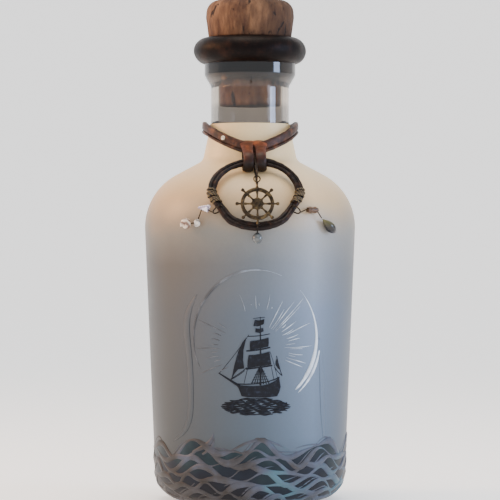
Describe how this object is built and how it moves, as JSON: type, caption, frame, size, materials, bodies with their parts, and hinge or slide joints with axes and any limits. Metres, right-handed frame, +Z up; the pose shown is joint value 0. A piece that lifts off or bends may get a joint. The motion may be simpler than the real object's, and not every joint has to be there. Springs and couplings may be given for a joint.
{
  "type": "ship in a bottle ornament",
  "caption": "Corked round glass bottle with a raised ship picture, waves round its foot and a leather pendant on its neck.",
  "frame": {"origin": "centre of the bottle's foot, on the surface it stands on", "axes": "+Z up along the bottle's axis; the ship picture and the pendant face -Y; +X is to their right"},
  "size_m": [0.1, 0.1098, 0.2376],
  "materials": {
    "clear_glass": "blown clear glass, polished",
    "frosted_coat": "satin frosted coat, sand fading to sea blue",
    "waxed_leather": "dark waxed, semi-gloss",
    "raised_coat": "satin raised line",
    "navy_enamel": "dark navy enamel, semi-gloss",
    "sea_enamel": "moulded waves, satin",
    "cork": "natural cork with dark fissures",
    "strap_leather": "worn tan leather with dark edges",
    "pale_stud": "polished bone",
    "dark_leather": "dark brown leather cord",
    "bronze_twine": "waxed twine",
    "bronze": "aged bronze, dark in the hollows",
    "lilac_shell": "polished shell",
    "grey_shell": "polished shell",
    "white_shell": "polished shell",
    "bead_wood": "turned and oiled",
    "tinted_drop": "tinted glass, olive to navy",
    "smoke_glass": "smoke grey glass"
  },
  "bodies": {
    "bottle": {"glass_bottle": "clear_glass", "frost_coat": "frosted_coat", "lip_ring": "waxed_leather", "medallion_ring": "raised_coat", "arch_relief": "raised_coat", "sun_rays": "raised_coat", "ship_hull": "navy_enamel", "ship_sails": "navy_enamel", "ship_rigging": "navy_enamel", "sea_decal": "navy_enamel", "wave_band": "sea_enamel", "wave_splash": "raised_coat"},
    "cork": {"cork_stopper": "cork"},
    "necklace": {"neck_strap": "strap_leather", "strap_stud": "pale_stud", "strap_keeper": "strap_leather"},
    "pendant": {"pendant_loop": "dark_leather", "left_lashing": "bronze_twine", "right_lashing": "bronze_twine", "charm_link": "bronze"},
    "wheel": {"ship_wheel_charm": "bronze"},
    "left_charms": {"left_charm_wire": "bronze", "left_spiral_shell": "lilac_shell", "left_grey_shell": "grey_shell", "left_round_shell": "white_shell"},
    "right_charms": {"right_charm_wire": "bronze", "right_wood_bead": "bead_wood", "right_teardrop": "tinted_drop"},
    "drop": {"drop_ring": "bronze", "glass_drop": "smoke_glass"}
  },
  "joints": [
    {"name": "cork_pull", "type": "slide", "parent": "bottle", "child": "cork", "axis": [0, 0, 1], "range_m": [0, 0.045]},
    {"name": "necklace_turn", "type": "hinge", "parent": "bottle", "child": "necklace", "pos_m": [0, 0, 0.1653], "axis": [0, 0, 1], "continuous": true},
    {"name": "loop_swing", "type": "hinge", "parent": "necklace", "child": "pendant", "pos_m": [0, -0.03458, 0.1598], "axis": [-1, 0, 0], "range_deg": [0, 65]},
    {"name": "wheel_swing", "type": "hinge", "parent": "pendant", "child": "wheel", "pos_m": [0, -0.05228, 0.1512], "axis": [-1, 0, 0], "range_deg": [0, 50]},
    {"name": "left_charm_swing", "type": "hinge", "parent": "pendant", "child": "left_charms", "pos_m": [-0.01792, -0.04984, 0.13717], "axis": [-0.5111, 0.4811, 0.7122], "range_deg": [0, 60]},
    {"name": "right_charm_swing", "type": "hinge", "parent": "pendant", "child": "right_charms", "pos_m": [0.01792, -0.04984, 0.13717], "axis": [-0.5111, -0.4811, -0.7122], "range_deg": [0, 60]},
    {"name": "drop_swing", "type": "hinge", "parent": "pendant", "child": "drop", "pos_m": [0, -0.05504, 0.12946], "axis": [-1, 0, 0], "range_deg": [0, 60]}
  ]
}
